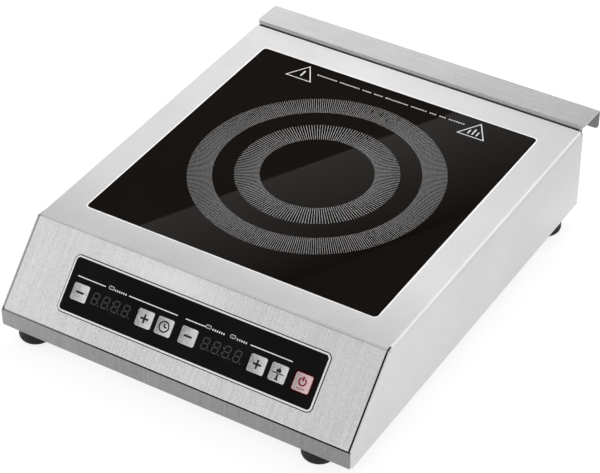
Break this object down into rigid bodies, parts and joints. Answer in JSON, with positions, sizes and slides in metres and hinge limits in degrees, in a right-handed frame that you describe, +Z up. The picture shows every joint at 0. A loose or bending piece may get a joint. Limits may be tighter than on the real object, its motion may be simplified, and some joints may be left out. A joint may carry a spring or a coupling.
{
  "type": "induction hob",
  "caption": "Counter-top commercial induction hob: square black glass plate in a brushed steel case, sloping key panel in front, splash hood over the rear exhaust.",
  "frame": {"origin": "on the table, under the middle of the bounding box", "axes": "+X to the user's right, +Y from the control panel to the back, +Z up"},
  "size_m": [0.34, 0.437, 0.0971],
  "materials": {
    "stainless": "brushed stainless sheet",
    "stainless_tray": "brushed stainless sheet, darker pressing",
    "screw_steel": "plated screws",
    "ceramic_glass": "polished black glass-ceramic",
    "silicone": "light grey silicone",
    "bezel": "bright anodised",
    "window_black": "polished black",
    "key_silver": "satin silver paint",
    "key_red": "satin, tinted red by its lamp",
    "lamp": "smoked light pipe",
    "display": "dark display face",
    "switch_black": "moulded",
    "circuit_board": "solder mask",
    "brass_parts": "turned",
    "rubber_black": "moulded",
    "sealant_black": "black silicone sealant",
    "nylon_black": "moulded nylon",
    "litz": "enamelled copper strands",
    "coil_carrier": "heat-resistant moulding",
    "ferrite": "sintered",
    "mica": "pressed mica",
    "sensor_white": "moulded silicone",
    "heat_sink_aluminium": "extruded",
    "package_black": "moulded epoxy",
    "capacitor_blue": "moulded box",
    "choke_winding": "enamelled copper on a core",
    "transformer_tape": "taped winding",
    "terminal_white": "moulded nylon",
    "fan_black": "glass-filled plastic",
    "wire_brown": "PVC sleeve",
    "wire_blue": "PVC sleeve",
    "wire_green_yellow": "PVC sleeve, green and yellow",
    "lead_sleeve": "silicone-glass sleeve",
    "ribbon_grey": "flat cable"
  },
  "bodies": {
    "casing": {"top_housing": "stainless", "base_tray": "stainless_tray", "rear_panel": "stainless", "rear_hood": "stainless", "case_screws": "screw_steel", "foot_screws": "screw_steel", "glass_plate": "ceramic_glass", "glass_seal": "silicone", "joint_sealant": "sealant_black", "panel_frame": "bezel", "panel_window": "window_black", "tact_switches": "switch_black", "indicator_lamps": "lamp", "control_board": "circuit_board", "control_board_standoffs": "brass_parts", "induction_coil": "litz", "coil_former": "coil_carrier", "ferrite_bars": "ferrite", "mica_sheet": "mica", "temperature_sensor": "sensor_white", "coil_posts": "brass_parts", "coil_screws": "screw_steel", "power_board": "circuit_board", "board_standoffs": "brass_parts", "board_screws": "screw_steel", "heat_sink": "heat_sink_aluminium", "power_transistors": "package_black", "bridge_rectifier": "package_black", "filter_choke": "choke_winding", "film_capacitors": "capacitor_blue", "auxiliary_transformer": "transformer_tape", "terminal_block": "terminal_white", "fan_screws": "screw_steel", "gland_body": "nylon_black", "gland_lock_nut": "nylon_black", "gland_cap_nut": "nylon_black", "gland_bush": "rubber_black", "bonding_stud": "brass_parts", "live_wire": "wire_brown", "neutral_wire": "wire_blue", "earth_wire": "wire_green_yellow", "coil_leads": "lead_sleeve", "ribbon_cable": "ribbon_grey", "foot_front_left": "rubber_black", "foot_front_right": "rubber_black", "foot_rear_left": "rubber_black", "foot_rear_right": "rubber_black", "timer_display": "display", "power_display": "display", "fan_frame_left": "fan_black", "fan_frame_right": "fan_black"},
    "key_timer_minus": {"key_timer_minus": "key_silver"},
    "key_timer_plus": {"key_timer_plus": "key_silver"},
    "key_timer_set": {"key_timer_set": "key_silver"},
    "key_power_minus": {"key_power_minus": "key_silver"},
    "key_power_plus": {"key_power_plus": "key_silver"},
    "key_mode": {"key_mode": "key_silver"},
    "key_on_off": {"key_on_off": "key_red"},
    "fan_rotor_left": {"fan_rotor_left": "fan_black"},
    "fan_rotor_right": {"fan_rotor_right": "fan_black"}
  },
  "joints": [
    {"name": "press_timer_minus", "type": "slide", "parent": "casing", "child": "key_timer_minus", "axis": [0, 0.7186, -0.6954], "range_m": [0, 0.0005], "stiffness_N_per_m": 2500},
    {"name": "press_timer_plus", "type": "slide", "parent": "casing", "child": "key_timer_plus", "axis": [0, 0.7186, -0.6954], "range_m": [0, 0.0005], "stiffness_N_per_m": 2500},
    {"name": "press_timer_set", "type": "slide", "parent": "casing", "child": "key_timer_set", "axis": [0, 0.7186, -0.6954], "range_m": [0, 0.0005], "stiffness_N_per_m": 2500},
    {"name": "press_power_minus", "type": "slide", "parent": "casing", "child": "key_power_minus", "axis": [0, 0.7186, -0.6954], "range_m": [0, 0.0005], "stiffness_N_per_m": 2500},
    {"name": "press_power_plus", "type": "slide", "parent": "casing", "child": "key_power_plus", "axis": [0, 0.7186, -0.6954], "range_m": [0, 0.0005], "stiffness_N_per_m": 2500},
    {"name": "press_mode", "type": "slide", "parent": "casing", "child": "key_mode", "axis": [0, 0.7186, -0.6954], "range_m": [0, 0.0005], "stiffness_N_per_m": 2500},
    {"name": "press_on_off", "type": "slide", "parent": "casing", "child": "key_on_off", "axis": [0, 0.7186, -0.6954], "range_m": [0, 0.0005], "stiffness_N_per_m": 2500},
    {"name": "spin_fan_left", "type": "hinge", "parent": "casing", "child": "fan_rotor_left", "pos_m": [-0.076, -0.1, 0.03], "axis": [0, 0, 1], "continuous": true},
    {"name": "spin_fan_right", "type": "hinge", "parent": "casing", "child": "fan_rotor_right", "pos_m": [0.076, -0.1, 0.03], "axis": [0, 0, 1], "continuous": true}
  ]
}
